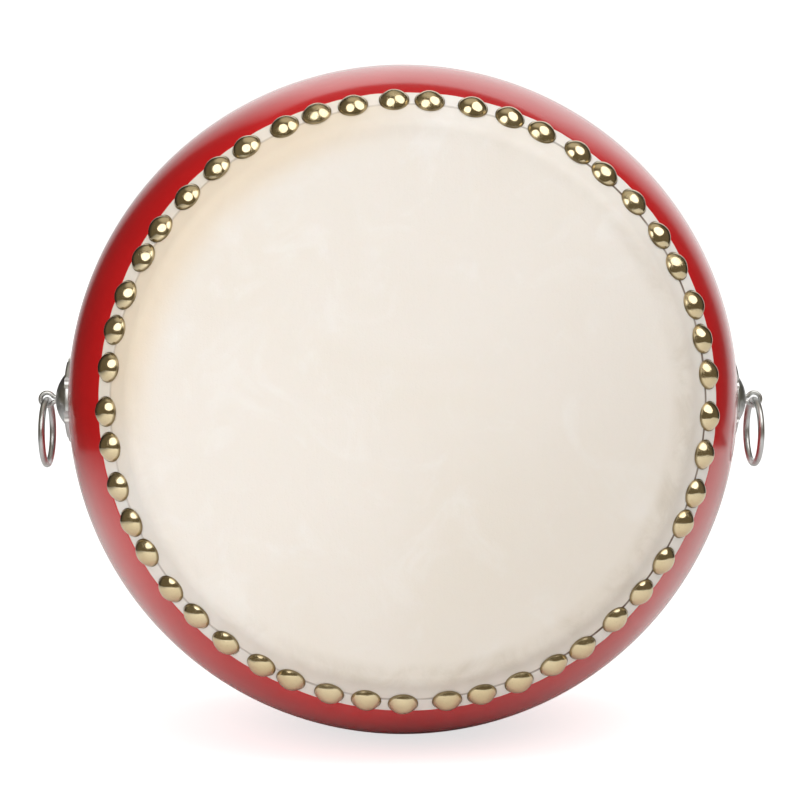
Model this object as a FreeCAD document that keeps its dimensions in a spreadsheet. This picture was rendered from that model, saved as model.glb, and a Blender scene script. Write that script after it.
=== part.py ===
import FreeCAD, Part
import math
import os

import Sketcher

# A barrel drum lying on its belly. The drum's axis runs along Y, the front head faces -Y, the two
# carrying rings hang at -X and +X, and the floor is Z = 0. Sizes are in millimetres and degrees. The
# drum's axis is high enough for the small flat under the belly to lie on the floor.

Vector = FreeCAD.Vector
Rotation = FreeCAD.Rotation
Placement = FreeCAD.Placement
OUTWARD = Vector(0, 0, 1)

SIZES = {
    # barrel of glued staves
    "belly_radius": 195.0,
    "height_over_heads": 260.0,
    "wall": 14.0,
    "staves_each_quarter": 5,
    "belly_bulge": 31.0,
    "land_width": 7.2,
    "rest_flat_depth": 1.0,
    "shoulder_angle": 42.0,
    "shoulder_bend_radius": 7.6,
    "bevel_length": 22.0,
    # hide heads
    "hide_thickness": 1.8,
    "bare_bevel": 2.7,
    # dome-headed tacks
    "tack_gap": 4.2,
    "tack_edge_distance": 6.9,
    "tack_first_turn": 4.8,
    "tack_dome_radius": 8.0,
    "tack_dome_height": 4.9,
    "tack_sheet": 0.8,
    "tack_shank_radius": 1.3,
    "tack_shank_length": 8.5,
    "tack_point_length": 3.0,
    "tack_turn_share": 0.29,
    "tack_row_jitter": 0.45,
    "tack_lean_jitter": 1.2,
    # backing plates of the carrying rings
    "plate_sheet": 1.2,
    "plate_dome_radius": 18.4,
    "plate_dome_height": 9.8,
    "plate_channel_width": 4.2,
    "plate_bead_width": 3.4,
    "plate_bead_height": 1.5,
    "plate_hole_clearance": 0.15,
    "plate_lobe_count": 8,
    "plate_notch_radius": 4.2,
    "plate_notch_depth": 2.3,
    # nails of the plates
    "nail_count": 4,
    "nail_head_radius": 1.9,
    "nail_head_height": 1.1,
    "nail_shank_radius": 0.8,
    "nail_shank_length": 9.5,
    "nail_point_length": 2.4,
    "nail_hole_clearance": 0.2,
    # split pins whose bent heads are the eyes of the rings
    "eye_neck_length": 0.2,
    "eye_slack": 0.65,
    "eye_wire_radius": 1.3,
    "eye_throat_radius": 2.5,
    "pin_leg_gap": 0.1,
    "pin_bend_radius": 2.6,
    "pin_clinch_length": 6.5,
    "pin_hole_clearance": 0.1,
    # washers under the clinched legs
    "washer_radius": 12.0,
    "washer_thickness": 1.5,
    "washer_seat_clearance": 0.05,
    # carrying rings
    "ring_mean_radius": 19.0,
    "ring_wire_radius": 1.95,
    "ring_running_gap": 0.3,
}

doc = FreeCAD.newDocument("BarrelDrum")
sheet = doc.addObject("Spreadsheet::Sheet", "Drum")
for row, (alias, size) in enumerate(SIZES.items(), start=1):
    sheet.set(f"A{row}", alias)
    sheet.set(f"B{row}", str(size))
    sheet.setAlias(f"B{row}", alias)
doc.recompute()

nodes = []


def value(formula):
    """The number that a formula of the sheet's sizes gives now."""
    result = sheet.evalExpression(formula)
    return float(getattr(result, "Value", result))


def line(x, y):
    """A corner of an outline that a straight edge leaves."""
    return x, y, None, 0, False


def arc(x, y, radius, side, long_way=False):
    """A corner that an arc leaves: it turns left (1) or right (-1), by under a half circle or over."""
    return x, y, radius, side, long_way


def arc_between(start, end, radius, side, long_way):
    """The arc that turns left or right from start to end, drawn anticlockwise."""
    chord = end - start
    across = Vector(-chord.y, chord.x, 0).normalize() * (-side if long_way else side)
    centre = (start + end) / 2 + across * math.sqrt(radius ** 2 - (chord.Length / 2) ** 2)
    first, last = (start, end) if side > 0 else (end, start)
    circle = Part.Circle(centre, OUTWARD, radius)
    turns = [math.atan2(spot.y - centre.y, spot.x - centre.x) for spot in (first, last)]
    return Part.ArcOfCircle(circle, turns[0], turns[1])


def bind(sketch, constraint, formula):
    number = sketch.addConstraint(constraint)
    sketch.setExpression(f"Constraints[{number}]", formula)


def hold_point(sketch, edge, point, x, y):
    """Bind a point's distances from the sketch's two axes to the sheet."""
    for kind, axis, formula in (("DistanceX", -2, x), ("DistanceY", -1, y)):
        along = value(formula)
        if formula == "0":
            sketch.addConstraint(Sketcher.Constraint("PointOnObject", edge, point, axis))
        elif along > 0:
            bind(sketch, Sketcher.Constraint(kind, -1, 1, edge, point, along), formula)
        else:
            bind(sketch, Sketcher.Constraint(kind, edge, point, -1, 1, -along), f"-({formula})")


def draw(sketch, corners, closed=True):
    """Draw the edges between corners, each corner held by its place and each arc by its radius."""
    places = [Vector(value(corner[0]), value(corner[1]), 0) for corner in corners]
    edges = len(corners) if closed else len(corners) - 1
    ends = []
    for edge in range(edges):
        radius, side, long_way = corners[edge][2:]
        start = places[edge]
        end = places[(edge + 1) % len(places)]
        if radius is None:
            sketch.addGeometry(Part.LineSegment(start, end), False)
        else:
            sketch.addGeometry(arc_between(start, end, value(radius), side, long_way), False)
            bind(sketch, Sketcher.Constraint("Radius", edge, value(radius)), radius)
        ends.append((2, 1) if side < 0 else (1, 2))
    for edge in range(edges):
        hold_point(sketch, edge, ends[edge][0], corners[edge][0], corners[edge][1])
        if closed or edge > 0:
            before = (edge - 1) % edges
            sketch.addConstraint(
                Sketcher.Constraint("Coincident", before, ends[before][1], edge, ends[edge][0]))
    if not closed:
        hold_point(sketch, edges - 1, ends[-1][1], corners[-1][0], corners[-1][1])


def new_body(name):
    body = doc.addObject("PartDesign::Body", name)
    body.Label = name
    return body


def new_sketch(body, name, role):
    """A sketch on the body's own origin plane of that role."""
    sketch = body.newObject("Sketcher::SketchObject", name)
    plane = next(item for item in body.Origin.OriginFeatures if item.Role == role)
    sketch.AttachmentSupport = [(plane, "")]
    sketch.MapMode = "FlatFace"
    return sketch


def turned_piece(name, role, corners, axis, angle="360"):
    """A body whose outline is turned about an axis of its sketch, half of the angle to each side."""
    body = new_body(name)
    outline = new_sketch(body, f"{name}_outline", role)
    draw(outline, corners)
    turned = body.newObject("PartDesign::Revolution", f"{name}_turned")
    turned.Profile = outline
    turned.ReferenceAxis = (outline, [axis])
    turned.Midplane = True
    turned.setExpression("Angle", angle)
    return body


def circle_sketch(body, name, role, radii, x="0", y="0"):
    """A sketch of circles round one centre."""
    sketch = new_sketch(body, name, role)
    for number, radius in enumerate(radii):
        centre = Vector(value(x), value(y), 0)
        sketch.addGeometry(Part.Circle(centre, OUTWARD, value(radius)), False)
        hold_point(sketch, number, 3, x, y)
        bind(sketch, Sketcher.Constraint("Radius", number, value(radius)), radius)
    return sketch


def round_hole(body, name, radius, x="0", y="0", count=None):
    """A hole along the body's X axis, right through it both ways, repeated round that axis."""
    sketch = circle_sketch(body, f"{name}_circle", "YZ_Plane", [radius], x, y)
    hole = body.newObject("PartDesign::Pocket", name)
    hole.Profile = sketch
    hole.Type = "ThroughAll"
    hole.Midplane = True
    if count:
        doc.recompute()
        ring = body.newObject("PartDesign::PolarPattern", f"{name}_ring")
        ring.Originals = [hole]
        ring.Axis = (sketch, ["N_Axis"])
        ring.Angle = 360
        ring.setExpression("Occurrences", count)
        body.Tip = ring


def hang(piece, rotation, across="0", below="0"):
    """Place a piece that way round, across from the drum's axis and below it, bound to the sheet."""
    piece.Placement = Placement(Vector(0, 0, 0), rotation)
    piece.setExpression("Placement.Base.x", across)
    piece.setExpression("Placement.Base.z", f"Drum.belly_radius - Drum.rest_flat_depth - ({below})")
    nodes.append(piece)


def scattered(name, pattern, places):
    """One node of separate solids: the pattern piece copied to each place about the drum's axis."""
    group = doc.addObject("Part::Feature", name)
    group.Label = name
    copies = []
    for place in places:
        piece = pattern.Shape.copy()
        piece.Placement = place
        copies.append(piece)
    group.Shape = Part.makeCompound(copies)
    hang(group, Rotation())


# Barrel: the outline in radius and height. Its shoulder runs from the flat land under the head, over
# a bend, down a straight bevel to the edge where the belly's long curve starts.
WOOD_HALF = "(Drum.height_over_heads / 2 - Drum.hide_thickness)"
COS = "cos(Drum.shoulder_angle)"
SIN = "sin(Drum.shoulder_angle)"
EDGE_R = "(Drum.belly_radius - Drum.belly_bulge)"
BEND_R = f"({EDGE_R} - Drum.bevel_length * {COS})"
BEND_Y = f"({WOOD_HALF} - Drum.shoulder_bend_radius * (1 - {COS}))"
EDGE_Y = f"({BEND_Y} - Drum.bevel_length * {SIN})"
FLAT_R = f"({BEND_R} - Drum.shoulder_bend_radius * {SIN})"
BELLY_ARC = f"((Drum.belly_bulge ^ 2 + {EDGE_Y} ^ 2) / (2 * Drum.belly_bulge))"
INNER_BELLY = "(Drum.belly_radius - Drum.wall)"
INNER_R = f"({FLAT_R} - Drum.land_width)"
INNER_DROP = f"({INNER_BELLY} - {INNER_R})"
INNER_ARC = f"(({INNER_DROP} ^ 2 + {WOOD_HALF} ^ 2) / (2 * {INNER_DROP}))"

# Eye of a ring's split pin: half the distance between its legs, and the hole that they pass through.
LEG = "(Drum.eye_wire_radius + Drum.pin_leg_gap / 2)"
PIN_HOLE = f"({LEG} + Drum.eye_wire_radius + Drum.pin_hole_clearance)"

# Shell: solid wooden staves, sawn to the barrel's curve and glued edge to edge. One stave is centred
# behind each ring plate, where the ring's split pin goes through it, and one under the drum, whose
# crown is planed flat just enough to lie still on a floor.
REST_HEIGHT = "(Drum.belly_radius - Drum.rest_flat_depth)"
REST_REACH = "(2 * sqrt(2 * Drum.belly_radius * Drum.rest_flat_depth))"
stave_outline = [
    line(INNER_R, f"-{WOOD_HALF}"),
    arc(FLAT_R, f"-{WOOD_HALF}", "Drum.shoulder_bend_radius", 1),
    line(BEND_R, f"-{BEND_Y}"),
    arc(EDGE_R, f"-{EDGE_Y}", BELLY_ARC, 1),
    line(EDGE_R, EDGE_Y),
    arc(BEND_R, BEND_Y, "Drum.shoulder_bend_radius", 1),
    line(FLAT_R, WOOD_HALF),
    arc(INNER_R, WOOD_HALF, INNER_ARC, -1),
]
quarter = int(value("Drum.staves_each_quarter"))
for number in range(4 * quarter):
    name = f"stave_{number + 1:02d}"
    stave = turned_piece(name, "XY_Plane", stave_outline, "V_Axis", "90 / Drum.staves_each_quarter")
    if number % (2 * quarter) == 0:
        round_hole(stave, f"{name}_pin_hole", PIN_HOLE)
    if number == quarter:
        crown = circle_sketch(stave, f"{name}_crown", "YZ_Plane", [REST_REACH])
        crown.setExpression("AttachmentOffset.Base.z", REST_HEIGHT)
        flat = stave.newObject("PartDesign::Pocket", f"{name}_rest_flat")
        flat.Profile = crown
        flat.Type = "ThroughAll"
        flat.Reversed = True
    hang(stave, Rotation(Vector(0, 1, 0), 90 * number / quarter))

# Heads: hide stretched wet over the barrel's rim and down the bevelled shoulder, trimmed under the
# tacks' outer edges.
SKIRT = "(Drum.bevel_length - Drum.bare_bevel)"
SKIRT_R = f"({BEND_R} + {SKIRT} * {COS})"
SKIRT_Y = f"({BEND_Y} - {SKIRT} * {SIN})"
HIDE_R = f"(Drum.hide_thickness * {SIN})"
HIDE_Y = f"(Drum.hide_thickness * {COS})"
HIDE_BEND = "(Drum.shoulder_bend_radius + Drum.hide_thickness)"
head_outline = [
    line("0", WOOD_HALF),
    arc(FLAT_R, WOOD_HALF, "Drum.shoulder_bend_radius", -1),
    line(BEND_R, BEND_Y),
    line(SKIRT_R, SKIRT_Y),
    line(f"{SKIRT_R} + {HIDE_R}", f"{SKIRT_Y} + {HIDE_Y}"),
    arc(f"{BEND_R} + {HIDE_R}", f"{BEND_Y} + {HIDE_Y}", HIDE_BEND, 1),
    line(FLAT_R, "Drum.height_over_heads / 2"),
    line("0", "Drum.height_over_heads / 2"),
]
for name, turn in (("front_head", 180), ("rear_head", 0)):
    head = turned_piece(name, "XY_Plane", head_outline, "V_Axis")
    hang(head, Rotation(OUTWARD, turn))

# Tacks: one row of hollow dome heads on pointed shanks holds each hide. The pattern tack stands on
# Z = 0 of its own frame, with its shank below.
DOME_ARC = "((Drum.tack_dome_radius ^ 2 + Drum.tack_dome_height ^ 2) / (2 * Drum.tack_dome_height))"
DOME_INSIDE = f"({DOME_ARC} - Drum.tack_sheet)"
DOME_CENTRE = f"(Drum.tack_dome_height - {DOME_ARC})"
tack_outline = [
    line("0", "Drum.tack_dome_height"),
    line("0", "-(Drum.tack_shank_length + Drum.tack_point_length)"),
    line("Drum.tack_shank_radius", "-Drum.tack_shank_length"),
    arc("Drum.tack_shank_radius",
        f"{DOME_CENTRE} + sqrt({DOME_INSIDE} ^ 2 - Drum.tack_shank_radius ^ 2)", DOME_INSIDE, -1),
    line(f"sqrt({DOME_INSIDE} ^ 2 - {DOME_CENTRE} ^ 2)", "0"),
    arc("Drum.tack_dome_radius", "0", DOME_ARC, 1),
]
pattern_tack = turned_piece("pattern_tack", "XZ_Plane", tack_outline, "V_Axis")

# Nails of the ring plates: low round heads on pointed shanks, standing on Z = 0 of their own frame.
NAIL_ARC = "((Drum.nail_head_radius ^ 2 + Drum.nail_head_height ^ 2) / (2 * Drum.nail_head_height))"
nail_outline = [
    line("0", "Drum.nail_head_height"),
    line("0", "-(Drum.nail_shank_length + Drum.nail_point_length)"),
    line("Drum.nail_shank_radius", "-Drum.nail_shank_length"),
    line("Drum.nail_shank_radius", "0"),
    arc("Drum.nail_head_radius", "0", NAIL_ARC, 1),
]
pattern_nail = turned_piece("pattern_nail", "XZ_Plane", nail_outline, "V_Axis")
doc.recompute()


def tack_places(end, phase):
    """A row driven by hand on the bevel: each tack a little off its turn, its row and its square."""
    slope = math.radians(value("Drum.shoulder_angle"))
    row_r = value(f"{SKIRT_R} + {HIDE_R} - Drum.tack_edge_distance * {COS}")
    row_y = value(f"{SKIRT_Y} + {HIDE_Y} + Drum.tack_edge_distance * {SIN}")
    round_way = 2 * math.pi * row_r
    count = round(round_way / value("2 * Drum.tack_dome_radius + Drum.tack_gap"))
    free = round_way / count - value("2 * Drum.tack_dome_radius")
    places = []
    for number in range(count):
        shift = math.sin(2.4 * number + phase) + 0.7 * math.sin(5.3 * number + 2 * phase)
        drift = value("Drum.tack_row_jitter") * math.sin(3.7 * number + phase)
        turn = math.radians(value("Drum.tack_first_turn")) + 2 * math.pi * number / count
        turn += value("Drum.tack_turn_share") * free / row_r * shift
        lean = slope + math.radians(value("Drum.tack_lean_jitter") * math.sin(1.9 * number + phase))
        side = Vector(math.cos(turn), 0, math.sin(turn))
        along = Vector(0, end, 0)
        spot = side * (row_r + drift * math.cos(slope)) + along * (row_y - drift * math.sin(slope))
        square = side * math.sin(lean) + along * math.cos(lean)
        places.append(Placement(spot, Rotation(OUTWARD, square)))
    return places


scattered("front_head_tacks", pattern_tack, tack_places(-1, 0.6))
scattered("rear_head_tacks", pattern_tack, tack_places(1, 2.1))

# Ring plates: pressed sheet metal, a lobed rosette with a raised bead inside its rim and a high dome
# in the middle. X = 0 of a plate's own frame is the belly's surface. The plate is dished to the
# belly's flatter way, so that it touches there and nowhere cuts in.
SEAT_ARC = f"({BELLY_ARC} > Drum.belly_radius ? {BELLY_ARC} : Drum.belly_radius)"
PLATE_ARC = f"({SEAT_ARC} + Drum.plate_sheet)"
BEAD_R = "(Drum.plate_dome_radius + Drum.plate_channel_width)"
RIM_R = f"({BEAD_R} + Drum.plate_bead_width)"
BEAD_ARC = "((Drum.plate_bead_height ^ 2 + (Drum.plate_bead_width / 2) ^ 2) / (2 * Drum.plate_bead_height))"


def height_on(radius, reach):
    """Height over the belly, that far from the plate's axis, of a sphere about the seat's middle."""
    return f"(sqrt({radius} ^ 2 - {reach} ^ 2) - {SEAT_ARC})"


DOME_FOOT = height_on(PLATE_ARC, "Drum.plate_dome_radius")
DOME_RISE = f"(Drum.plate_dome_height - {DOME_FOOT})"
TOP_ARC = f"((Drum.plate_dome_radius ^ 2 + {DOME_RISE} ^ 2) / (2 * {DOME_RISE}))"
TOP_CENTRE = f"(Drum.plate_dome_height - {TOP_ARC})"
UNDER_ARC = f"({TOP_ARC} - Drum.plate_sheet)"
UNDER_FOOT = f"(({TOP_CENTRE} ^ 2 - {UNDER_ARC} ^ 2) / (2 * ({TOP_CENTRE} + {SEAT_ARC})))"
PLATE_HOLE = f"({PIN_HOLE} + Drum.plate_hole_clearance)"
plate_outline = [
    line(height_on(SEAT_ARC, RIM_R), RIM_R),
    arc(height_on(PLATE_ARC, RIM_R), RIM_R, BEAD_ARC, -1),
    arc(height_on(PLATE_ARC, BEAD_R), BEAD_R, PLATE_ARC, -1),
    arc(DOME_FOOT, "Drum.plate_dome_radius", TOP_ARC, -1),
    line(f"{TOP_CENTRE} + sqrt({TOP_ARC} ^ 2 - {PLATE_HOLE} ^ 2)", PLATE_HOLE),
    arc(f"{TOP_CENTRE} + sqrt({UNDER_ARC} ^ 2 - {PLATE_HOLE} ^ 2)", PLATE_HOLE, UNDER_ARC, 1),
    arc(UNDER_FOOT, f"sqrt({UNDER_ARC} ^ 2 - ({UNDER_FOOT} - {TOP_CENTRE}) ^ 2)", SEAT_ARC, 1),
]
NOTCH = f"({RIM_R} + Drum.plate_notch_radius - Drum.plate_notch_depth)"
HALF_LOBE = "(180 / Drum.plate_lobe_count)"
NAIL_ROW = "(Drum.plate_dome_radius + Drum.plate_channel_width / 2)"
HALF_NAIL = "(180 / Drum.nail_count)"

# Split pins: one wire bent to an eye, its two legs side by side through plate and stave and clinched
# over a washer inside. The eye stands across the drum's axis, so that a ring swings out sideways.
EYE_LOOP = "(Drum.ring_wire_radius + Drum.eye_slack + Drum.eye_wire_radius)"
THROAT = "Drum.eye_throat_radius"
THROAT_RUN = f"sqrt(({EYE_LOOP} + {THROAT}) ^ 2 - ({LEG} + {THROAT}) ^ 2)"
LOOP_SHARE = f"({EYE_LOOP} / ({EYE_LOOP} + {THROAT}))"
THROAT_X = "(Drum.plate_dome_height + Drum.eye_neck_length)"
EYE_X = f"({THROAT_X} + {THROAT_RUN})"
TOUCH_X = f"({EYE_X} - {THROAT_RUN} * {LOOP_SHARE})"
TOUCH_Z = f"(({LEG} + {THROAT}) * {LOOP_SHARE})"
WASHER_SAG = f"({INNER_BELLY} - sqrt({INNER_BELLY} ^ 2 - Drum.washer_radius ^ 2))"
WASHER_X = f"(Drum.wall + {WASHER_SAG} + Drum.washer_seat_clearance)"
CLINCH_X = f"-({WASHER_X} + Drum.washer_thickness + Drum.washer_seat_clearance + Drum.eye_wire_radius)"
BEND_X = f"({CLINCH_X} + Drum.pin_bend_radius)"
BEND_Z = f"({LEG} + Drum.pin_bend_radius)"
CLINCH_Z = f"({BEND_Z} + Drum.pin_clinch_length)"
WASHER_HOLE = f"({BEND_Z} + Drum.pin_hole_clearance)"
pin_path = [
    line(CLINCH_X, CLINCH_Z),
    arc(CLINCH_X, BEND_Z, "Drum.pin_bend_radius", 1),
    line(BEND_X, LEG),
    arc(THROAT_X, LEG, THROAT, 1),
    arc(TOUCH_X, TOUCH_Z, EYE_LOOP, -1, long_way=True),
    arc(TOUCH_X, f"-{TOUCH_Z}", THROAT, 1),
    line(THROAT_X, f"-{LEG}"),
    arc(BEND_X, f"-{LEG}", "Drum.pin_bend_radius", 1),
    line(CLINCH_X, f"-{BEND_Z}"),
    line(CLINCH_X, f"-{CLINCH_Z}"),
]

# Rings: round wire, closed, hanging in the eyes. The wire's middle, where it passes through the eye,
# lies a little below the eye's middle, just clear of the eye's lower inside.
PIVOT_DROP = "(Drum.eye_slack - Drum.ring_running_gap)"

for name, side in (("left", -1), ("right", 1)):
    facing = Rotation(OUTWARD, 90 - 90 * side)
    belly = f"{side} * Drum.belly_radius"

    plate = turned_piece(f"{name}_ring_plate", "XY_Plane", plate_outline, "H_Axis")
    round_hole(plate, f"{name}_rim_notch", "Drum.plate_notch_radius",
               f"{NOTCH} * cos({HALF_LOBE})", f"{NOTCH} * sin({HALF_LOBE})", "Drum.plate_lobe_count")
    round_hole(plate, f"{name}_nail_hole", "Drum.nail_shank_radius + Drum.nail_hole_clearance",
               f"{NAIL_ROW} * cos({HALF_NAIL})", f"{NAIL_ROW} * sin({HALF_NAIL})", "Drum.nail_count")
    hang(plate, facing, belly)

    slope = math.asin(value(f"{NAIL_ROW} / {PLATE_ARC}"))
    nail_places = []
    for number in range(int(value("Drum.nail_count"))):
        turn = math.radians(value(HALF_NAIL)) * (2 * number + 1)
        square = Vector(side * math.cos(slope), math.sin(slope) * math.cos(turn),
                        math.sin(slope) * math.sin(turn))
        seat_middle = Vector(side * value(f"Drum.belly_radius - {SEAT_ARC}"), 0, 0)
        nail_places.append(Placement(seat_middle + square * value(PLATE_ARC), Rotation(OUTWARD, square)))
    scattered(f"{name}_plate_nails", pattern_nail, nail_places)

    eye = new_body(f"{name}_ring_eye")
    path = new_sketch(eye, f"{name}_eye_path", "XZ_Plane")
    draw(path, pin_path, closed=False)
    section = circle_sketch(eye, f"{name}_eye_wire", "XY_Plane", ["Drum.eye_wire_radius"], CLINCH_X)
    section.setExpression("AttachmentOffset.Base.z", CLINCH_Z)
    doc.recompute()
    bent_wire = eye.newObject("PartDesign::AdditivePipe", f"{name}_bent_wire")
    bent_wire.Profile = section
    bent_wire.Spine = (path, [f"Edge{number}" for number in range(1, len(pin_path))])
    hang(eye, facing, belly)

    washer = new_body(f"{name}_pin_washer")
    face = circle_sketch(washer, f"{name}_washer_face", "YZ_Plane",
                         ["Drum.washer_radius", WASHER_HOLE])
    disc = washer.newObject("PartDesign::Pad", f"{name}_washer_disc")
    disc.Profile = face
    disc.setExpression("Length", "Drum.washer_thickness")
    hang(washer, facing, f"{side} * (Drum.belly_radius - {WASHER_X} - Drum.washer_thickness)")

    ring = doc.addObject("Part::Torus", f"{name}_pull_ring")
    ring.Label = f"{name}_pull_ring"
    ring.setExpression("Radius1", "Drum.ring_mean_radius")
    ring.setExpression("Radius2", "Drum.ring_wire_radius")
    hang(ring, Rotation(Vector(0, 1, 0), 90), f"{side} * (Drum.belly_radius + {EYE_X})",
         f"{PIVOT_DROP} + Drum.ring_mean_radius")

doc.recompute()
for item in doc.Objects:
    if "Invalid" in item.State or "Error" in item.State:
        raise RuntimeError(f"{item.Label} failed: {item.State}")
for node in nodes:
    if node.Shape.isNull() or not node.Shape.isValid():
        raise RuntimeError(f"{node.Label} has no valid shape")

os.makedirs("parts", exist_ok=True)
for node in nodes:
    node.Shape.exportStep(os.path.join("parts", f"{node.Label}.step"))
    print(node.Label, len(node.Shape.Solids), round(node.Shape.Volume), node.Shape.BoundBox)
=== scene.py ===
"""Barrel drum on its belly: the looks of its lacquer, hides, brass tacks and carrying rings."""
import math

import bmesh
import bpy
from mathutils import Matrix, Vector, noise


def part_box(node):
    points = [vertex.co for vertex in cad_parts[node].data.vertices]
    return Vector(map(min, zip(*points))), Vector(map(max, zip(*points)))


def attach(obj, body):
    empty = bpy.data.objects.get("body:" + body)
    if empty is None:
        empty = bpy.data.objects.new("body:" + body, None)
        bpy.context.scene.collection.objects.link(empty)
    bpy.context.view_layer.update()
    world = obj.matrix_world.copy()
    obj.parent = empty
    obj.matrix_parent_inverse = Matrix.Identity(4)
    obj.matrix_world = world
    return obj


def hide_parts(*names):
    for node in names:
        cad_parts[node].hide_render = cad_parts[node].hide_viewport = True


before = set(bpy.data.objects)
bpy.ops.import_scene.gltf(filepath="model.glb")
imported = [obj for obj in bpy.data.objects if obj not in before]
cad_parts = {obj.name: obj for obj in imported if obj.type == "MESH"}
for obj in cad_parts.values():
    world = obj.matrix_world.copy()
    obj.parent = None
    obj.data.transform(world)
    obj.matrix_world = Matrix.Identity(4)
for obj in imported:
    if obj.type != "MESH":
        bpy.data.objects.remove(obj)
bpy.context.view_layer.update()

scene = bpy.context.scene
scene.view_settings.view_transform = "Standard"


# Camera: a short telephoto one metre off, facing the front head from a little left of the drum's axis
# and a little above it.
head_low, head_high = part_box("front_head")
AXIS = Vector((0, 0, (head_low.z + head_high.z) / 2))
AIM = AXIS + Vector((-0.0015, 0, -0.0005))
CAMERA_DISTANCE = 1.014
CAMERA_LEFT = math.radians(1.67)
CAMERA_UP = math.radians(0.85)
SENSOR_MM = 36
LENS_MM = 76.74

camera = bpy.data.objects.new("camera", bpy.data.cameras.new("camera"))
camera.data.sensor_width = SENSOR_MM
camera.data.lens = LENS_MM
camera.location = AXIS + CAMERA_DISTANCE * Vector((
    -math.sin(CAMERA_LEFT) * math.cos(CAMERA_UP),
    -math.cos(CAMERA_LEFT) * math.cos(CAMERA_UP),
    math.sin(CAMERA_UP)))
camera.rotation_euler = (AIM - camera.location).to_track_quat("-Z", "Y").to_euler()
scene.collection.objects.link(camera)
scene.camera = camera


# Studio: pale paper over the floor and up behind the drum, and a dim room with a bright ceiling, all
# white to the camera. Each of the two round soft boxes in front lights the drum from its middle and
# shines in gloss with its whole front.
def add(tree, kind, inputs=None, **settings):
    """A shader node with its settings, and its inputs set to values or wired to other nodes."""
    made = tree.nodes.new("ShaderNode" + kind)
    for name, setting in settings.items():
        setattr(made, name, setting)
    for name, given in (inputs or {}).items():
        if isinstance(given, bpy.types.NodeSocket):
            tree.links.new(given, made.inputs[name])
        else:
            made.inputs[name].default_value = given
    return made


def calc(tree, operation, first, second=0.0, third=0.0):
    """A sum on numbers and wired values."""
    return add(tree, "Math", {0: first, 1: second, 2: third}, operation=operation).outputs[0]


def ramp(tree, value, low, high, rise="SMOOTHSTEP"):
    """0 at low and before it, 1 at high and after it, and a smooth rise between."""
    return add(tree, "MapRange", {0: value, 1: low, 2: high}, interpolation_type=rise).outputs[0]


def mixed(tree, share, first, second):
    """One colour laid over another by a share."""
    return add(tree, "Mix", {0: share, 6: first, 7: second}, data_type="RGBA").outputs[2]


PAPER = (0.78, 0.775, 0.765, 1)
PAPER_LEFT = -1.12
PAPER_RIGHT = 1.77
PAPER_FRONT = -0.66
PAPER_TOP = 2.52
PAPER_BELOW_DRUM = 0.0002
FLOOR_RIGHT = 1.24
SWEEP_START = 1.5
SWEEP_RADIUS = 0.5
SWEEP_STEPS = 12
CAMERA_GLOW = 0.70
BACKDROP_GLOW = 0.50
BACKDROP_FROM = 1.2
UNLIT = (0.03, 0.03, 0.03, 1)
UNLIT_FROM_MIDDLE = 0.74
UNLIT_SHARE = 0.85

floor = [(PAPER_LEFT, PAPER_FRONT), (FLOOR_RIGHT, PAPER_FRONT),
         (FLOOR_RIGHT, SWEEP_START), (PAPER_LEFT, SWEEP_START)]
rise = []
for step in range(SWEEP_STEPS + 1):
    lean = math.pi / 2 * step / SWEEP_STEPS
    rise.append((SWEEP_START + SWEEP_RADIUS * math.sin(lean), SWEEP_RADIUS * (1 - math.cos(lean))))
rise.append((SWEEP_START + SWEEP_RADIUS, PAPER_TOP))

paper_shape = bmesh.new()
paper_shape.faces.new([paper_shape.verts.new((x, y, -PAPER_BELOW_DRUM)) for x, y in floor])
left, right = [[paper_shape.verts.new((x, y, z - PAPER_BELOW_DRUM)) for y, z in rise]
               for x in (PAPER_LEFT, PAPER_RIGHT)]
for low_left, high_left, low_right, high_right in zip(left, left[1:], right, right[1:]):
    paper_shape.faces.new((low_left, low_right, high_right, high_left)).smooth = True
paper = bpy.data.objects.new("paper", bpy.data.meshes.new("paper"))
paper_shape.to_mesh(paper.data)
paper_shape.free()
scene.collection.objects.link(paper)

material = bpy.data.materials.new("paper")
material.use_nodes = True
tree = material.node_tree
tree.nodes.clear()
rays = add(tree, "LightPath").outputs
place = add(tree, "SeparateXYZ", {0: add(tree, "TexCoord").outputs["Object"]}).outputs
backdrop = ramp(tree, place[1], BACKDROP_FROM, SWEEP_START + SWEEP_RADIUS, "LINEAR")
shine = calc(tree, "MULTIPLY", rays["Is Glossy Ray"], calc(tree, "MULTIPLY", backdrop, BACKDROP_GLOW))
shine = calc(tree, "MULTIPLY_ADD", rays["Is Camera Ray"], CAMERA_GLOW, shine)
glow = add(tree, "Emission", {"Color": (1, 1, 1, 1), "Strength": shine})
sheet = add(tree, "BsdfDiffuse", {"Color": PAPER})
both = add(tree, "AddShader", {0: sheet.outputs[0], 1: glow.outputs[0]})
aside = calc(tree, "ABSOLUTE", calc(tree, "SUBTRACT", place[0], (PAPER_LEFT + PAPER_RIGHT) / 2))
ending = ramp(tree, aside, UNLIT_FROM_MIDDLE, (PAPER_RIGHT - PAPER_LEFT) / 2, "LINEAR")
unlit = calc(tree, "MULTIPLY", calc(tree, "MULTIPLY", ending, rays["Is Glossy Ray"]), UNLIT_SHARE)
shaded = add(tree, "Emission", {"Color": UNLIT, "Strength": 1.0})
faded = add(tree, "MixShader", {0: unlit, 1: both.outputs[0], 2: shaded.outputs[0]})
add(tree, "OutputMaterial", {"Surface": faded.outputs[0]})
paper.data.materials.append(material)

FILL_LOW = (0.31, 0.31, 0.307, 1)
FILL_HIGH = (1.36, 1.35, 1.33, 1)
ROOM_FRONT = (0.140, 0.118, 0.080, 1)
ROOM_BACK = (0.022, 0.020, 0.017, 1)
CEILING = (0.540, 0.500, 0.420, 1)
FRONT_TO_BACK = (0.15, 0.65)
CEILING_EDGE = (0.80, 0.98)

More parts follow.
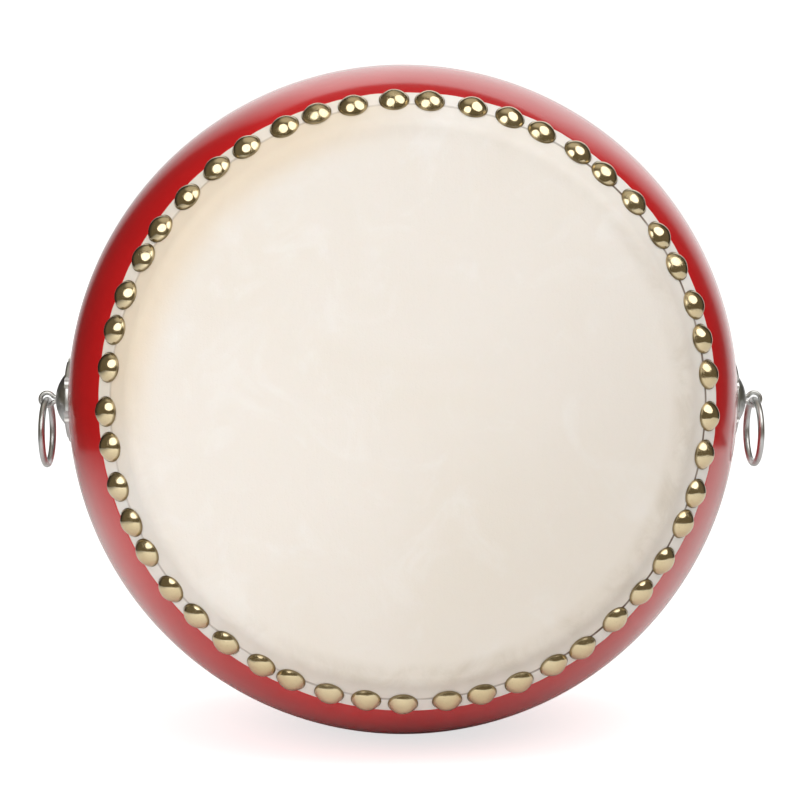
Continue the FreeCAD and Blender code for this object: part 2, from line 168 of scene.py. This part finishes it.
world = bpy.data.worlds.new("room")
scene.world = world
world.use_nodes = True
tree = world.node_tree
tree.nodes.clear()
rays = add(tree, "LightPath").outputs
toward = add(tree, "SeparateXYZ", {0: add(tree, "TexCoord").outputs["Generated"]})
backward, upward = toward.outputs[1], toward.outputs[2]
walls = mixed(tree, ramp(tree, backward, *FRONT_TO_BACK, "LINEAR"), ROOM_FRONT, ROOM_BACK)
walls = mixed(tree, ramp(tree, upward, *CEILING_EDGE), walls, CEILING)
height = ramp(tree, upward, 0.0, 1.0, "LINEAR")
sky = mixed(tree, calc(tree, "MULTIPLY", height, height), FILL_LOW, FILL_HIGH)
fill = add(tree, "Background", {"Color": sky, "Strength": 1.0})
dim = add(tree, "Background", {"Color": walls, "Strength": 1.0})
white = add(tree, "Background", {"Color": (1, 1, 1, 1), "Strength": 1.0})
around = add(tree, "MixShader", {0: rays["Is Glossy Ray"], 1: fill.outputs[0], 2: dim.outputs[0]})
seen = add(tree, "MixShader", {0: rays["Is Camera Ray"], 1: around.outputs[0], 2: white.outputs[0]})
add(tree, "OutputWorld", {"Surface": seen.outputs[0]})

# each box's name, stand from the drum's middle, width, watts, and whether it shines in gloss
BOX_COLOUR = (1.0, 0.99, 0.975)
BOXES = (
    ("left_box_middle", (-0.26, -0.65, 0.06), 0.46, 1.12, False),
    ("right_box_middle", (0.32, -0.65, 0.50), 0.72, 1.78, False),
    ("left_box_front", (-0.30, -0.65, 0.35), 0.64, 1.95, True),
    ("right_box_front", (0.58, -0.65, 0.80), 1.16, 6.30, True))
for name, stand, width, watts, shines in BOXES:
    lamp = bpy.data.lights.new(name, "AREA")
    lamp.shape = "DISK"
    lamp.size = width
    lamp.energy = watts
    lamp.color = BOX_COLOUR
    box = bpy.data.objects.new(name, lamp)
    box.location = AXIS + Vector(stand)
    box.rotation_euler = (AXIS - box.location).to_track_quat("-Z", "Y").to_euler()
    box.visible_camera = False
    box.visible_glossy = shines
    box.visible_diffuse = not shines
    scene.collection.objects.link(box)


# Shell: twenty glued staves under one coat of red lacquer, flowed on thick and rubbed to a gloss. The
# coat hides the wood but sinks a hair along the glued joints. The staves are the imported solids.
def cloudy(tree, place, scale, detail=3.0, roughness=0.5, distortion=0.0):
    """Soft clouds around a half, with so many to the metre."""
    return add(tree, "TexNoise", {"Vector": place, "Scale": scale, "Detail": detail,
                                  "Roughness": roughness, "Distortion": distortion}).outputs["Fac"]


def new_finish(name, plain):
    """A material, its surface shader with the values that are the same all over, and the place on the
    drum that its patterns follow."""
    material = bpy.data.materials.new(name)
    material.use_nodes = True
    tree = material.node_tree
    tree.nodes.clear()
    surface = add(tree, "BsdfPrincipled", plain)
    add(tree, "OutputMaterial", {"Surface": surface.outputs[0]})
    place = add(tree, "TexCoord").outputs["Object"]
    return material, tree, surface, place


def lay_on(tree, surface, colour, roughness, height, relief):
    """The finish takes its colour and roughness, and a height of 1 stands relief metres proud."""
    bump = add(tree, "Bump", {"Height": height, "Distance": relief, "Strength": 1.0})
    tree.links.new(colour, surface.inputs["Base Color"])
    tree.links.new(roughness, surface.inputs["Roughness"])
    tree.links.new(bump.outputs[0], surface.inputs["Normal"])


def coat(names, finish):
    """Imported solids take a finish."""
    for name in names:
        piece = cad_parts[name]
        piece.data.materials.clear()
        piece.data.materials.append(finish)


def new_group(name, inputs, output):
    """An empty effect to be placed in several finishes: its tree, named inputs and named output."""
    group = bpy.data.node_groups.new(name, "ShaderNodeTree")
    group.interface.new_socket("Place", in_out="INPUT", socket_type="NodeSocketVector")
    for socket, value in inputs.items():
        made = group.interface.new_socket(socket, in_out="INPUT", socket_type="NodeSocketFloat")
        made.default_value = value
    group.interface.new_socket(output, in_out="OUTPUT", socket_type="NodeSocketFloat")
    into = group.nodes.new("NodeGroupInput")
    out = group.nodes.new("NodeGroupOutput")
    return group, into.outputs, out.inputs[output]


def placed(tree, group, inputs):
    """What an effect puts out, placed in a finish with the finish's own values."""
    return add(tree, "Group", inputs, node_tree=group).outputs[0]


# handling marks: soft patches where hands and cloths have dulled or brightened a finish
handling, given, out = new_group("handling_marks", {"Patches per metre": 12.0}, "Patches")
wide = cloudy(handling, given["Place"], given["Patches per metre"], 4.0, 0.6, 0.4)
handling.links.new(ramp(handling, wide, 0.36, 0.66), out)

STAVES = 20
JOINT_SHARE = 0.022
JOINT_SINK = 0.16
LACQUER = (0.67, 0.008, 0.010, 1)
LACQUER_DEEP = (0.57, 0.006, 0.008, 1)
LACQUER_THIN = (0.70, 0.014, 0.013, 1)
LACQUER_ROUGHNESS = 0.285
LACQUER_DULLED = 0.05
LACQUER_RELIEF = 0.0002

lacquer, tree, surface, place = new_finish("red_lacquer", {
    "IOR": 1.52, "Specular IOR Level": 0.08, "Coat Weight": 0.95, "Coat Roughness": 0.10})
middle = add(tree, "VectorMath", {0: place, 1: AXIS}, operation="SUBTRACT").outputs[0]
parts = add(tree, "SeparateXYZ", {0: middle}).outputs
across, up = parts[0], parts[2]
count = calc(tree, "MULTIPLY", calc(tree, "ARCTAN2", up, across), STAVES / (2 * math.pi))
within = calc(tree, "FRACT", calc(tree, "ADD", count, 2.0 * STAVES))
off_joint = calc(tree, "ABSOLUTE", calc(tree, "SUBTRACT", within, 0.5))
proud = ramp(tree, off_joint, 0.0, JOINT_SHARE)
wander = cloudy(tree, place, 9.0, 3.0, 0.5)
tone = mixed(tree, ramp(tree, wander, 0.35, 0.7), LACQUER, LACQUER_DEEP)
pooled = ramp(tree, cloudy(tree, place, 55.0, 4.0, 0.6, 0.6), 0.48, 0.72)
tone = mixed(tree, calc(tree, "MULTIPLY", pooled, 0.35), tone, LACQUER_THIN)
dull = placed(tree, handling, {"Place": place, "Patches per metre": 14.0})
rough = calc(tree, "MULTIPLY_ADD", dull, LACQUER_DULLED, LACQUER_ROUGHNESS)
peel = calc(tree, "MULTIPLY", cloudy(tree, place, 420.0, 2.0), 0.05)
sag = calc(tree, "MULTIPLY", cloudy(tree, place, 20.0, 2.0), 0.6)
height = calc(tree, "ADD", calc(tree, "ADD", peel, sag), calc(tree, "MULTIPLY", proud, JOINT_SINK))
lay_on(tree, surface, tone, rough, height, LACQUER_RELIEF)
coat([f"stave_{number + 1:02d}" for number in range(STAVES)], lacquer)


# Heads: two cattle hides, 1.8 mm thick, soaked, stretched over the rims and dried hard. Each bends
# over its rim, runs down the bevel under the tacks and is trimmed by knife. It swells between the
# tacks, and a scribed line that set out the row runs just inside their middles.
HALF_HEIGHT = -head_low.y
HIDE_THICKNESS = 0.0018
SLOPE = math.radians(42)
BEND_RADIUS = 0.0094
FLAT_RADIUS = 0.142565
SKIRT_LENGTH = 0.0193
ROW_FROM_BEND = 0.0124
LINE_FROM_BEND = 0.0095


def on_bend(tilt, depth=0.0):
    """Radius and height of a point on the hide's bend, or so deep in it."""
    bend = BEND_RADIUS - depth
    return FLAT_RADIUS + bend * math.sin(tilt), HALF_HEIGHT - depth - bend * (1 - math.cos(tilt))


def on_bevel(run, depth=0.0):
    """Radius and height of a point so far down the bevel from the bend's end, or so deep in the hide."""
    radius, height = on_bend(SLOPE)
    return (radius + run * math.cos(SLOPE) - depth * math.sin(SLOPE),
            height - run * math.sin(SLOPE) - depth * math.cos(SLOPE))


def on_drum(end, radius, height, turn):
    """The point at a radius, height and turn on the front end (-1) or the rear end (1)."""
    return AXIS + Vector((radius * math.cos(turn), end * height, radius * math.sin(turn)))


TACK_COUNT = 49
TACK_RADIUS = 0.008
ROW_RADIUS = on_bevel(ROW_FROM_BEND)[0]
FIRST_TURN = math.radians(4.8)
TURN_SHARE = 0.29
ROW_DRIFT = 0.00045
LEAN_SPREAD = math.radians(1.2)


def tack_row(phase):
    """Each tack's turn about the drum's axis, its drift down the bevel, and its lean."""
    free = 2 * math.pi * ROW_RADIUS / TACK_COUNT - 2 * TACK_RADIUS
    row = []
    for number in range(TACK_COUNT):
        shift = math.sin(2.4 * number + phase) + 0.7 * math.sin(5.3 * number + 2 * phase)
        turn = FIRST_TURN + 2 * math.pi * number / TACK_COUNT + TURN_SHARE * free / ROW_RADIUS * shift
        drift = ROW_DRIFT * math.sin(3.7 * number + phase)
        lean = SLOPE + LEAN_SPREAD * math.sin(1.9 * number + phase)
        row.append((turn, drift, lean))
    return row


FLAT_RADII = (0.006, 0.016, 0.030, 0.046, 0.064, 0.082, 0.099, 0.114, 0.126, 0.1335, 0.1385, FLAT_RADIUS)
BEND_STEPS = 10
WIDE_STEP = 0.0009
LINE_STEP = 0.00025
SKIRT_STEP = 0.0007
STEPS_PER_TACK = 18
WAVE_HEIGHT = 0.00007
WAVES_PER_METRE = 24
SWELL_HEIGHT = 0.00052
SWELL_SINK = 0.00020
SWELL_REACH = 0.0075
SWELL_FROM_TACK = 0.0085
SKIRT_WAVE_HEIGHT = 0.00010
SKIRT_WAVES_ROUND = 24
SKIRT_WAVES_DOWN = 60
LINE_DEPTH = 0.00024
LINE_HALF_WIDTH = 0.00036
CUT_FROM = 0.0135
CUT_WANDER = 0.00042
CUT_WANDERS_ROUND = 5
CUT_NICK = 0.00026
CUT_NICKS_ROUND = 21
CUT_PINCH = 0.00022
CUT_PINCH_REACH = 0.004
CUT_ROUNDING = 0.00030
CUT_BEVEL = 0.00025


def stretched_hide(end, row, seed):
    """The hide as rings of points from its middle over the bend and down to the knife cut, and back
    along its underside."""
    stations = [(radius, HALF_HEIGHT, 0.0, 0.0) for radius in FLAT_RADII]
    for step in range(1, BEND_STEPS + 1):
        tilt = SLOPE * step / BEND_STEPS
        stations.append((*on_bend(tilt), tilt, 0.0))
    # down the bevel, with close stations over the scribed line
    runs = [WIDE_STEP * step for step in range(1, 9)]
    runs += [LINE_FROM_BEND + LINE_STEP * step for step in range(-6, 7)]
    runs += [runs[-1] + SKIRT_STEP * step for step in range(1, 11)]
    runs += [(runs[-1] + SKIRT_LENGTH) / 2, SKIRT_LENGTH]
    stations += [(*on_bevel(run), SLOPE, run) for run in runs]

    around = TACK_COUNT * STEPS_PER_TACK
    turns = [2 * math.pi * step / around for step in range(around)]
    off_tack = [min(abs((turn - tack + math.pi) % (2 * math.pi) - math.pi) for tack, drift, lean in row)
                for turn in turns]
    rings = []
    for radius, height, tilt, run in stations:
        ring = []
        for turn, off in zip(turns, off_tack):
            spot = Vector((math.cos(turn), math.sin(turn), 0.0))
            lift = WAVE_HEIGHT * noise.noise(spot * radius * WAVES_PER_METRE + Vector((0, 0, seed)))
            slack = 0.0
            if tilt > 0:
                away = math.hypot(off * radius, run - ROW_FROM_BEND)
                near_row = math.exp(-((run - ROW_FROM_BEND) / SWELL_REACH) ** 2)
                swell = SWELL_HEIGHT * (1 - math.exp(-(away / SWELL_FROM_TACK) ** 2)) - SWELL_SINK
                wave = noise.noise(Vector((turn * SKIRT_WAVES_ROUND, run * SKIRT_WAVES_DOWN, seed)))
                lift += near_row * swell + SKIRT_WAVE_HEIGHT * tilt / SLOPE * wave
                lift -= LINE_DEPTH * math.exp(-((run - LINE_FROM_BEND) / LINE_HALF_WIDTH) ** 2)
            if run > CUT_FROM:
                share = (run - CUT_FROM) / (SKIRT_LENGTH - CUT_FROM)
                cut = CUT_WANDER * noise.noise(Vector((turn * CUT_WANDERS_ROUND, seed, 1.0)))
                cut += CUT_NICK * noise.noise(Vector((turn * CUT_NICKS_ROUND, seed, 2.0)))
                slack = share * (cut - CUT_PINCH * math.exp(-(off * radius / CUT_PINCH_REACH) ** 2))
            if run == SKIRT_LENGTH:
                lift -= CUT_ROUNDING
            reach = radius + lift * math.sin(tilt) + slack * math.cos(SLOPE)
            rise = height + lift * math.cos(tilt) - slack * math.sin(SLOPE)
            ring.append((reach, rise, turn))
        rings.append(ring)

    # back along the underside: it follows the knife cut, then keeps the hide's thickness
    trimmed = rings[-1]
    edge_radius = on_bevel(SKIRT_LENGTH)[0]
    for run, depth in ((SKIRT_LENGTH, HIDE_THICKNESS - CUT_BEVEL),
                       (SKIRT_LENGTH - CUT_ROUNDING, HIDE_THICKNESS)):
        radius, height = on_bevel(run, depth)
        rings.append([(radius + reach - edge_radius, height - (reach - edge_radius) * math.tan(SLOPE), turn)
                      for reach, rise, turn in trimmed])
    rings.append([(*on_bevel(0.0, HIDE_THICKNESS), turn) for turn in turns])
    for share in (6 / 7, 4 / 7, 2 / 7, 0):
        rings.append([(*on_bend(SLOPE * share, HIDE_THICKNESS), turn) for turn in turns])

    skin = bmesh.new()
    made = [[skin.verts.new(on_drum(end, *point)) for point in ring] for ring in rings]
    top = skin.verts.new(on_drum(end, 0, HALF_HEIGHT, 0))
    bottom = skin.verts.new(on_drum(end, 0, HALF_HEIGHT - HIDE_THICKNESS, 0))
    for step in range(around):
        after = (step + 1) % around
        skin.faces.new((top, made[0][step], made[0][after]))
        skin.faces.new((bottom, made[-1][after], made[-1][step]))
        for inner, outer in zip(made, made[1:]):
            skin.faces.new((inner[step], outer[step], outer[after], inner[after]))
    return skin


def as_piece(name, shape, finish, node):
    """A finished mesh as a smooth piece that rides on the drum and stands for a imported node."""
    bmesh.ops.recalc_face_normals(shape, faces=shape.faces)
    for face in shape.faces:
        face.smooth = True
    piece = bpy.data.objects.new(name, bpy.data.meshes.new(name))
    shape.to_mesh(piece.data)
    shape.free()
    piece.data.materials.append(finish)
    scene.collection.objects.link(piece)
    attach(piece, "drum")
    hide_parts(node)


CREAM = (0.835, 0.780, 0.720, 1)
CREAM_WARM = (0.800, 0.735, 0.640, 1)
CREAM_PALE = (0.880, 0.850, 0.815, 1)
CREAM_AGED = (0.800, 0.675, 0.520, 1)
DARK_CREAM = (0.560, 0.490, 0.400, 1)
SCRIBED = (0.130, 0.075, 0.045, 1)
LINE_RADIUS = on_bevel(LINE_FROM_BEND)[0]
LINE_WAVER = 0.0012
LINE_BLUR = (0.00030, 0.00085)
LIT_STRIP_FROM = (LINE_RADIUS - 0.0003, LINE_RADIUS + 0.0005)
AGED_FROM = (0.125, 0.146)
DARKENING_FADES = (0.156, 0.149)
BEND_BAND_STARTS = (0.1340, 0.1415)
BEND_BAND_ENDS = (0.1530, 0.1450)
HIGH_LEFT = (0.10, 0.17)
LOW_RIGHT = (0.02, -0.11)
LINE_DARK_RIGHT = (0.03, 0.12)
LINE_DARK_LOW = (-0.04, -0.13)
HIDE_ROUGHNESS = 0.60
HIDE_RELIEF = 0.00010

hide, tree, surface, place = new_finish("dried_hide", {
    "IOR": 1.45, "Subsurface Weight": 0.10, "Subsurface Radius": (1.0, 0.6, 0.4), "Subsurface Scale": 0.002})
middle = add(tree, "VectorMath", {0: place, 1: AXIS}, operation="SUBTRACT").outputs[0]
parts = add(tree, "SeparateXYZ", {0: middle}).outputs
across, up = parts[0], parts[2]
squared = calc(tree, "ADD", calc(tree, "MULTIPLY", across, across), calc(tree, "MULTIPLY", up, up))
radius = calc(tree, "SQRT", squared)
broad = ramp(tree, cloudy(tree, place, 7.0, 3.0, 0.55, 0.8), 0.42, 0.68)
tone = mixed(tree, calc(tree, "MULTIPLY", broad, 0.42), CREAM, CREAM_WARM)
patch = ramp(tree, cloudy(tree, place, 26.0, 4.0, 0.6, 1.2), 0.50, 0.74)
tone = mixed(tree, calc(tree, "MULTIPLY", patch, 0.45), tone, CREAM_PALE)

# aged yellow along the upper left rim, and a grey-brown darkening towards the lower right
steep_slant = calc(tree, "SUBTRACT", calc(tree, "MULTIPLY", up, 0.8), across)
aged = calc(tree, "MULTIPLY", ramp(tree, radius, *AGED_FROM), ramp(tree, steep_slant, *HIGH_LEFT))
tone = mixed(tree, calc(tree, "MULTIPLY", aged, 0.92), tone, CREAM_AGED)
slant = calc(tree, "MULTIPLY", calc(tree, "SUBTRACT", up, across), 0.5)
low_right = ramp(tree, slant, *LOW_RIGHT)
low_right_darkening = calc(tree, "MULTIPLY", low_right, ramp(tree, radius, *DARKENING_FADES))
tone = mixed(tree, calc(tree, "MULTIPLY", low_right_darkening, 0.30), tone, DARK_CREAM)

# a ring along the bend inside the tacks, darkened partly with dirt smudges and partly as painted shade of
# the bend, heavier towards the lower right, and a paler strip under them, painted light
band_clouds = ramp(tree, cloudy(tree, place, 34.0, 5.0, 0.65, 0.8), 0.40, 0.72)
band_clouds = calc(tree, "MULTIPLY_ADD", band_clouds, 0.55, 0.18)
ring = calc(tree, "MULTIPLY", ramp(tree, radius, *BEND_BAND_STARTS), ramp(tree, radius, *BEND_BAND_ENDS))
smudge_and_bend_shade = calc(tree, "MULTIPLY", calc(tree, "MULTIPLY", ring, band_clouds),
              calc(tree, "MULTIPLY_ADD", low_right, 0.85, 0.22))
tone = mixed(tree, smudge_and_bend_shade, tone, DARK_CREAM)
# painted light: the strip outside the scribed line is painted paler
tone = mixed(tree, calc(tree, "MULTIPLY", ramp(tree, radius, *LIT_STRIP_FROM), 0.45), tone, CREAM_PALE)

# the scribed line, darker at the right and low down, fainter elsewhere
waver = calc(tree, "MULTIPLY_ADD", cloudy(tree, place, 40.0, 2.0), LINE_WAVER, -LINE_WAVER / 2)
off_line = calc(tree, "ABSOLUTE", calc(tree, "SUBTRACT", calc(tree, "ADD", radius, waver), LINE_RADIUS))
scribed = calc(tree, "SUBTRACT", 1.0, ramp(tree, off_line, *LINE_BLUR))
uneven = ramp(tree, cloudy(tree, place, 60.0, 2.0), 0.3, 0.6)
scribed = calc(tree, "MULTIPLY", scribed, calc(tree, "MULTIPLY_ADD", uneven, 0.4, 0.6))
line_strength = calc(tree, "MULTIPLY_ADD", ramp(tree, across, *LINE_DARK_RIGHT), 0.70, 0.28)
line_strength = calc(tree, "MULTIPLY_ADD", ramp(tree, up, *LINE_DARK_LOW), 0.20, line_strength)
tone = mixed(tree, calc(tree, "MULTIPLY", scribed, line_strength), tone, SCRIBED)

pores = add(tree, "TexVoronoi", {"Vector": place, "Scale": 720.0, "Randomness": 1.0}).outputs["Distance"]
pit = calc(tree, "SUBTRACT", 1.0, ramp(tree, pores, 0.10, 0.42))
tone = mixed(tree, calc(tree, "MULTIPLY", pit, 0.10), tone, CREAM_WARM)
rubbed = placed(tree, handling, {"Place": place, "Patches per metre": 18.0})
rough = calc(tree, "MULTIPLY_ADD", rubbed, -0.10, HIDE_ROUGHNESS)
drawn = add(tree, "Mapping", {"Vector": place, "Rotation": (0, 0.5, 0), "Scale": (1.0, 1.0, 0.16)})
fibres = calc(tree, "MULTIPLY", cloudy(tree, drawn.outputs[0], 520.0, 3.0, 0.6, 0.5), 0.45)
height = calc(tree, "MULTIPLY_ADD", pit, -0.25, fibres)
height = calc(tree, "MULTIPLY_ADD", cloudy(tree, place, 120.0, 3.0), 0.5, height)
lay_on(tree, surface, tone, rough, height, HIDE_RELIEF)

# each end's name, side of the drum, phase of its row and seed of its waves and dents
ENDS = (("front", -1, 0.6, 3.1), ("rear", 1, 2.1, 8.7))
for name, end, phase, seed in ENDS:
    shape = stretched_hide(end, tack_row(phase), seed)
    as_piece(f"{name}_drum_hide", shape, hide, f"{name}_head")


# Tacks: 49 for each head, stamped from brass sheet with the nail's shank soldered in, polished, and
# driven by hand through the hide into the staves. No two domes are quite alike.
TACK_HEIGHT = 0.0049
ROLL_TILT = 0.045
ROLL_TOP = 0.00032
ROLL_OUT = 0.00001
ROLL_LOW = 0.00012
ROLL_IN = 0.00004
ROLL_SEAT = 0.00030
SHANK_RADIUS = 0.0013
SHANK_LENGTH = 0.0085
POINT_END = 0.0115
DOME_STEPS = 18
STEPS_AROUND = 44
DENT_DEPTH = 0.00016
DENTS_PER_METRE = 210
OVAL_SHARE = 0.006


def driven_tack(row_shape, spot, square, number, seed):
    """One tack: its dome in rings from the crown to the rolled rim, its flat underside and shank."""
    arc = (TACK_RADIUS ** 2 + TACK_HEIGHT ** 2) / (2 * TACK_HEIGHT)
    widest = math.asin(TACK_RADIUS / arc)
    outline = []
    for step in range(1, DOME_STEPS + 1):
        share = step / DOME_STEPS
        tilt = (widest - ROLL_TILT) * share
        outline.append((arc * math.sin(tilt), TACK_HEIGHT - arc * (1 - math.cos(tilt)), share))
    roll = ((TACK_RADIUS + ROLL_OUT, ROLL_TOP), (TACK_RADIUS - ROLL_IN, ROLL_LOW),
            (TACK_RADIUS - ROLL_SEAT, 0.0))
    shank = ((SHANK_RADIUS, 0.0), (SHANK_RADIUS, -SHANK_LENGTH))
    outline += [(radius, height, 1.0) for radius, height in roll + shank]
    driven = Matrix.Translation(spot) @ square.to_track_quat("Z", "Y").to_matrix().to_4x4()
    rim = row_shape.verts.layers.float["rim"]
    rings = []
    for radius, height, share in outline:
        ring = []
        for step in range(STEPS_AROUND):
            turn = 2 * math.pi * step / STEPS_AROUND
            point = Vector((radius * math.cos(turn), radius * math.sin(turn), height))
            if share < 1:
                dent = noise.noise(point * DENTS_PER_METRE + Vector((seed, 7.3 * number, 0)))
                oval = math.cos(2 * turn + 1.7 * number) * share * share
                fade = 1 - share ** 6
                point.z += fade * DENT_DEPTH * dent
                point *= 1 + OVAL_SHARE * oval * fade
            vert = row_shape.verts.new(driven @ point)
            vert[rim] = share
            ring.append(vert)
        rings.append(ring)
    crown = row_shape.verts.new(driven @ Vector((0, 0, TACK_HEIGHT)))
    point = row_shape.verts.new(driven @ Vector((0, 0, -POINT_END)))
    for step in range(STEPS_AROUND):
        after = (step + 1) % STEPS_AROUND
        row_shape.faces.new((crown, rings[0][step], rings[0][after]))
        row_shape.faces.new((point, rings[-1][after], rings[-1][step]))
        for inner, outer in zip(rings, rings[1:]):
            row_shape.faces.new((inner[step], outer[step], outer[after], inner[after]))


# rubbing scratches, in two crossing sets of broken hair lines
scratches, given, out = new_group(
    "rubbing_scratches", {"Lines per metre": 400.0, "Thinness": 0.02}, "Lines")
lines = []
for turn, stretch in ((0.5, 11.0), (-0.9, 14.0)):
    turned = add(scratches, "Mapping", {"Vector": given["Place"], "Rotation": (turn, 0.7 * turn, 1.3 * turn),
                                        "Scale": (1.0, 1.0, 1.0 / stretch)})
    wave = cloudy(scratches, turned.outputs[0], given["Lines per metre"], 1.0)
    off = calc(scratches, "ABSOLUTE", calc(scratches, "SUBTRACT", wave, 0.5))
    line = calc(scratches, "SUBTRACT", 1.0, calc(scratches, "DIVIDE", off, given["Thinness"]))
    broken = ramp(scratches, cloudy(scratches, given["Place"], 70.0 + 20 * turn, 2.0), 0.52, 0.62)
    lines.append(calc(scratches, "MULTIPLY", calc(scratches, "MAXIMUM", line, 0.0), broken))
scratches.links.new(calc(scratches, "MAXIMUM", *lines), out)

BRASS = (0.815, 0.695, 0.455, 1)
BRASS_WARM = (0.760, 0.630, 0.390, 1)
BRASS_TARNISH_AND_SHADE = (0.250, 0.185, 0.095, 1)
BRASS_ROUGHNESS = 0.10
BRASS_RELIEF = 0.00004

brass, tree, surface, place = new_finish("polished_brass", {"Metallic": 1.0})
wander = cloudy(tree, place, 45.0, 3.0, 0.6)
tone = mixed(tree, ramp(tree, wander, 0.35, 0.70), BRASS, BRASS_WARM)
rim = add(tree, "Attribute", attribute_name="rim").outputs["Fac"]
# darker towards the rolled rim, partly tarnish and partly painted shade where the dome turns away and meets
# the hide, and tarnish spots over the dome
spots = ramp(tree, cloudy(tree, place, 900.0, 3.0, 0.6), 0.60, 0.72)
tarnish_and_shade = calc(tree, "MAXIMUM", calc(tree, "MULTIPLY", ramp(tree, rim, 0.84, 0.97), 0.88),
             calc(tree, "MULTIPLY", spots, 0.22))
tone = mixed(tree, tarnish_and_shade, tone, BRASS_TARNISH_AND_SHADE)
hair = placed(tree, scratches, {"Place": place, "Lines per metre": 1500.0, "Thinness": 0.03})
dull = placed(tree, handling, {"Place": place, "Patches per metre": 60.0})
rough = calc(tree, "MULTIPLY_ADD", dull, 0.06, BRASS_ROUGHNESS)
rough = calc(tree, "MULTIPLY_ADD", hair, 0.08, rough)
rough = calc(tree, "MULTIPLY_ADD", tarnish_and_shade, 0.25, rough)
height = calc(tree, "MULTIPLY_ADD", hair, -0.4, cloudy(tree, place, 300.0, 2.0))
lay_on(tree, surface, tone, rough, height, BRASS_RELIEF)

for name, end, phase, seed in ENDS:
    shape = bmesh.new()
    shape.verts.layers.float.new("rim")
    for number, (turn, drift, lean) in enumerate(tack_row(phase)):
        spot = on_drum(end, *on_bevel(ROW_FROM_BEND + drift), turn)
        square = Vector((math.sin(lean) * math.cos(turn), end * math.cos(lean),
                         math.sin(lean) * math.sin(turn)))
        driven_tack(shape, spot, square, number, seed)
    as_piece(f"{name}_brass_tacks", shape, brass, f"{name}_head_tacks")


# Ring hardware: pressed plates with a beaded rim and a high dome, their nails, the split pins whose
# bent heads are the eyes, and the rings, all of nickelled steel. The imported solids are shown.
NICKEL = (0.660, 0.670, 0.665, 1)
NICKEL_SMOKY = (0.450, 0.455, 0.445, 1)
NICKEL_RUST = (0.220, 0.120, 0.070, 1)
NICKEL_ROUGHNESS = 0.285
NICKEL_RELIEF = 0.00005

nickel, tree, surface, place = new_finish("nickelled_steel", {"Metallic": 1.0})
wander = ramp(tree, cloudy(tree, place, 60.0, 4.0, 0.6, 0.5), 0.42, 0.75)
tone = mixed(tree, calc(tree, "MULTIPLY", wander, 0.7), NICKEL, NICKEL_SMOKY)
freckles = ramp(tree, cloudy(tree, place, 1300.0, 3.0, 0.7), 0.66, 0.76)
tone = mixed(tree, calc(tree, "MULTIPLY", freckles, 0.5), tone, NICKEL_RUST)
hair = placed(tree, scratches, {"Place": place, "Lines per metre": 1200.0, "Thinness": 0.03})
dull = placed(tree, handling, {"Place": place, "Patches per metre": 80.0})
rough = calc(tree, "MULTIPLY_ADD", dull, 0.08, NICKEL_ROUGHNESS)
rough = calc(tree, "MULTIPLY_ADD", hair, 0.10, rough)
rough = calc(tree, "MULTIPLY_ADD", freckles, 0.25, rough)
height = calc(tree, "MULTIPLY_ADD", hair, -0.4, cloudy(tree, place, 260.0, 3.0))
lay_on(tree, surface, tone, rough, height, NICKEL_RELIEF)
for side in ("left", "right"):
    coat([f"{side}_ring_plate", f"{side}_plate_nails", f"{side}_ring_eye", f"{side}_pull_ring"], nickel)


# Washers under the clinched legs, inside the drum: punched from bare steel sheet, with the marks of
# the rolls across them.
STEEL = (0.330, 0.325, 0.315, 1)
STEEL_DARK = (0.190, 0.180, 0.165, 1)
STEEL_ROUGHNESS = 0.30
STEEL_RELIEF = 0.00003

bare_steel, tree, surface, place = new_finish("bare_steel_sheet", {"Metallic": 1.0})
rolled = add(tree, "Mapping", {"Vector": place, "Scale": (1.0, 0.06, 1.0)}).outputs[0]
streaks = cloudy(tree, rolled, 2400.0, 2.0)
blotches = ramp(tree, cloudy(tree, place, 180.0, 4.0, 0.6), 0.42, 0.68)
tone = mixed(tree, blotches, STEEL, STEEL_DARK)
rough = calc(tree, "MULTIPLY_ADD", streaks, 0.25, STEEL_ROUGHNESS)
lay_on(tree, surface, tone, rough, streaks, STEEL_RELIEF)
coat(["left_pin_washer", "right_pin_washer"], bare_steel)
